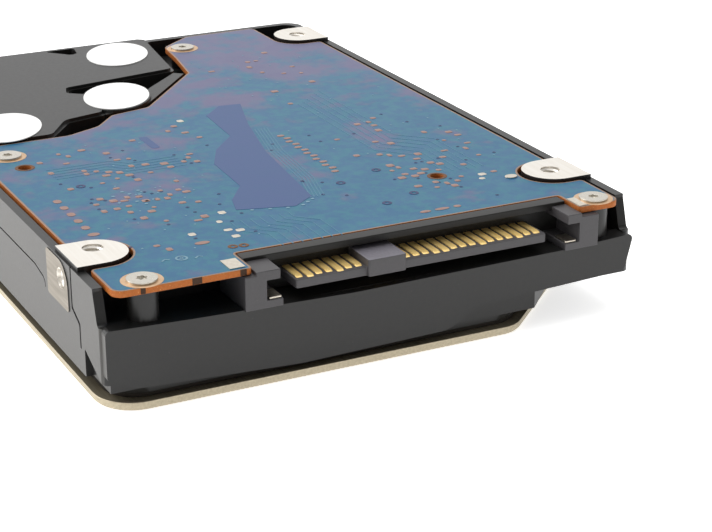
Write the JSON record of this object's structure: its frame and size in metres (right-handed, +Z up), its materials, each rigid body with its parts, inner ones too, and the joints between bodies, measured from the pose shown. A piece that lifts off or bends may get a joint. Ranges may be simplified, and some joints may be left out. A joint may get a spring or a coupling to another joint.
{
  "type": "hard disk drive",
  "caption": "Thin laptop-size hard disk drive in a black cast case, with an edge plug, a circuit board, turning discs and a swinging head arm inside.",
  "frame": {"origin": "middle of the footprint, on the plane the cover rests on", "axes": "+X across the drive, +Y away from the connector end, +Z up out of the circuit board side"},
  "size_m": [0.0698, 0.1002, 0.015],
  "materials": {
    "black_casting": "satin black coat",
    "seal_foil": "matt foil",
    "board_laminate": "blue solder mask",
    "plated_screw": "zinc plated",
    "dark_plastic": "moulded",
    "gold_contact": "gold plated",
    "tinned_metal": "tinned",
    "chip_epoxy": "moulded epoxy",
    "ceramic_part": "sintered ceramic",
    "resistor_body": "glazed",
    "ferrite": "ferrite",
    "polyester_film": "black film",
    "gasket_rubber": "matt",
    "cover_steel": "champagne coated sheet",
    "label_film": "blank white film",
    "filter_felt": "felt",
    "bronze": "turned",
    "stainless": "turned",
    "core_steel": "laminated",
    "copper_winding": "enamelled wire",
    "nickel_steel": "nickel plated",
    "magnet_nickel": "nickel plated",
    "ramp_resin": "moulded acetal",
    "flex_polyimide": "amber film",
    "bracket_resin": "moulded",
    "machined_aluminium": "turned",
    "disc_mirror": "polished",
    "suspension_steel": "rolled foil",
    "slider_ceramic": "lapped ceramic"
  },
  "bodies": {
    "case": {"base_casting": "black_casting", "port_seals": "seal_foil", "circuit_board": "board_laminate", "board_screws": "plated_screw", "connector_housing": "dark_plastic", "signal_contacts": "gold_contact", "power_contacts": "gold_contact", "second_port_contacts": "gold_contact", "connector_clips": "tinned_metal", "connector_solder_tabs": "tinned_metal", "controller_chip": "chip_epoxy", "memory_chip": "chip_epoxy", "motor_driver_chip": "chip_epoxy", "flash_chip": "chip_epoxy", "board_capacitors": "ceramic_part", "board_resistors": "resistor_body", "board_inductors": "ferrite", "motor_contact_block": "dark_plastic", "insulator_film": "polyester_film", "cover_gasket": "gasket_rubber", "top_cover": "cover_steel", "blank_label": "label_film", "cover_screws": "plated_screw", "breather_filter": "filter_felt", "recirculation_filter": "filter_felt", "desiccant_pack": "filter_felt", "bearing_sleeve": "bronze", "bearing_end_cap": "stainless", "stator_core": "core_steel", "stator_coils": "copper_winding", "pivot_shaft": "stainless", "lower_yoke": "nickel_steel", "upper_yoke": "nickel_steel", "lower_magnet": "magnet_nickel", "upper_magnet": "magnet_nickel", "yoke_posts": "stainless", "stage_screws": "plated_screw", "crash_stops": "gasket_rubber", "load_ramp": "ramp_resin", "latch_pin": "stainless", "flex_bracket": "bracket_resin", "feed_through_connector": "bracket_resin", "flex_cable": "flex_polyimide"},
    "disc_pack": {"spindle_hub": "machined_aluminium", "spindle_shaft": "stainless", "rotor_magnet": "magnet_nickel", "lower_platter": "disc_mirror", "middle_platter": "disc_mirror", "upper_platter": "disc_mirror", "disc_spacers": "machined_aluminium", "disc_clamp": "machined_aluminium", "clamp_screws": "plated_screw"},
    "head_arm": {"arm_block": "machined_aluminium", "pivot_bearing": "stainless", "suspensions": "suspension_steel", "head_sliders": "slider_ceramic", "coil_frame": "ramp_resin", "voice_coil": "copper_winding", "preamplifier_chip": "chip_epoxy"},
    "latch": {"inertia_latch": "ramp_resin"}
  },
  "joints": [
    {"name": "disc_spin", "type": "hinge", "parent": "case", "child": "disc_pack", "pos_m": [0, 0.0154, 0.005], "axis": [0, 0, 1], "continuous": true},
    {"name": "head_swing", "type": "hinge", "parent": "case", "child": "head_arm", "pos_m": [-0.008, -0.0233, 0.005], "axis": [0, 0, 1], "range_deg": [0, 32.5], "deforming": ["flex_cable"]},
    {"name": "latch_swing", "type": "hinge", "parent": "case", "child": "latch", "pos_m": [-0.0242, -0.0444, 0.0058], "axis": [0, 0, 1], "range_deg": [0, 5]}
  ]
}
